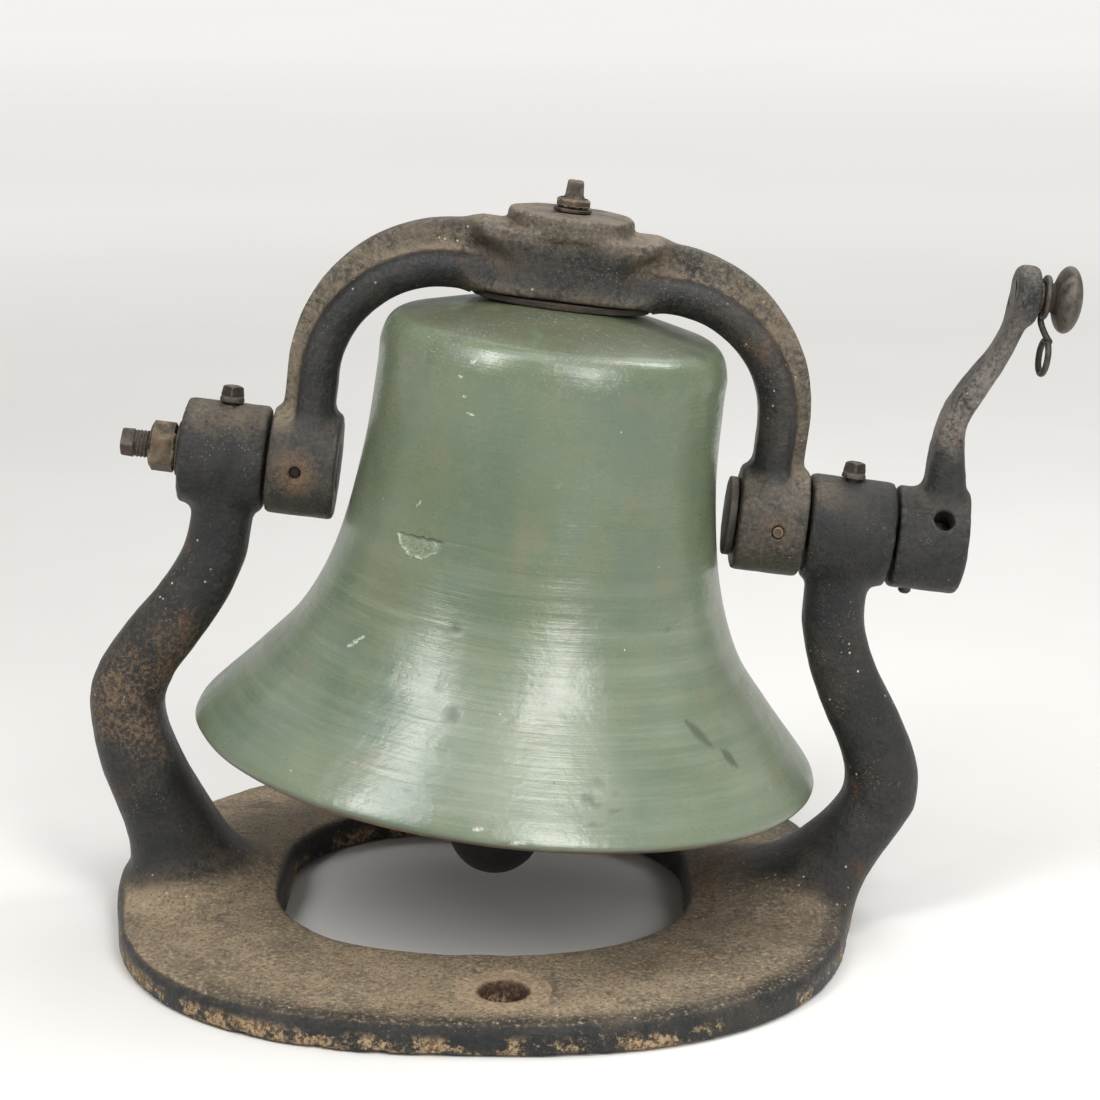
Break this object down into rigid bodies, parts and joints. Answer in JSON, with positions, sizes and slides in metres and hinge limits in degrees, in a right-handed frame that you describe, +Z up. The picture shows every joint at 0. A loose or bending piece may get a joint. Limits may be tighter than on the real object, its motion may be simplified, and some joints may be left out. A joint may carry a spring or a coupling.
{
  "type": "swinging yoke bell",
  "caption": "Cast bronze bell, painted green, hung in a swinging iron yoke between the arms of an iron foot-ring cradle, with a crank lever to ring it by rope.",
  "frame": {"origin": "on the ground, under the middle of the whole bell's box", "axes": "+X along the bell's length towards the crank lever, +Y to the back, +Z up; the foot ring lies flat on the ground, and the trunnion axis drops 6.4 degrees towards +X"},
  "size_m": [0.4699, 0.354, 0.3592],
  "materials": {
    "cast_iron": "worn black paint with rust dust, satin",
    "bell_bronze": "old sage-green paint over turned bronze, soft gloss",
    "dark_steel": "old dark oiled steel",
    "rusty_steel": "brown rusted steel",
    "bush_bronze": "dull bronze",
    "knob_brass": "dark tarnished brass with bright rubbed spots",
    "gasket_leather": "dry dark leather"
  },
  "bodies": {
    "stand": {"cradle": "cast_iron", "left_bearing_bush": "bush_bronze", "right_bearing_bush": "bush_bronze", "left_oil_plug": "dark_steel", "right_oil_plug": "dark_steel"},
    "swinging_bell": {"bell": "bell_bronze", "crown_gasket": "gasket_leather", "yoke": "cast_iron", "left_trunnion_pin": "dark_steel", "left_trunnion_washer": "dark_steel", "left_trunnion_nut": "rusty_steel", "left_yoke_cross_pin": "rusty_steel", "right_yoke_cross_pin": "rusty_steel", "crank_shaft": "dark_steel", "crank_arm": "cast_iron", "crank_set_screw": "dark_steel", "crank_knob": "knob_brass", "centre_bolt": "dark_steel", "centre_bolt_washer": "dark_steel", "centre_bolt_nut": "rusty_steel", "inner_crown_washer": "dark_steel", "clapper_pin": "dark_steel", "clapper_pin_collar": "dark_steel"},
    "clapper": {"clapper": "cast_iron"},
    "pull_hook": {"pull_hook": "dark_steel"}
  },
  "joints": [
    {"name": "bell_swing", "type": "hinge", "parent": "stand", "child": "swinging_bell", "pos_m": [-0.01947, 0, 0.21068], "axis": [0.9938, 0, -0.1115], "continuous": true},
    {"name": "clapper_swing", "type": "hinge", "parent": "swinging_bell", "child": "clapper", "pos_m": [-0.01323, 0, 0.26633], "axis": [0.9938, 0, -0.1115], "range_deg": [-31, 31]},
    {"name": "hook_swing", "type": "hinge", "parent": "swinging_bell", "child": "pull_hook", "pos_m": [0.21718, 0, 0.3069], "axis": [0.9938, 0, -0.1115], "continuous": true}
  ]
}
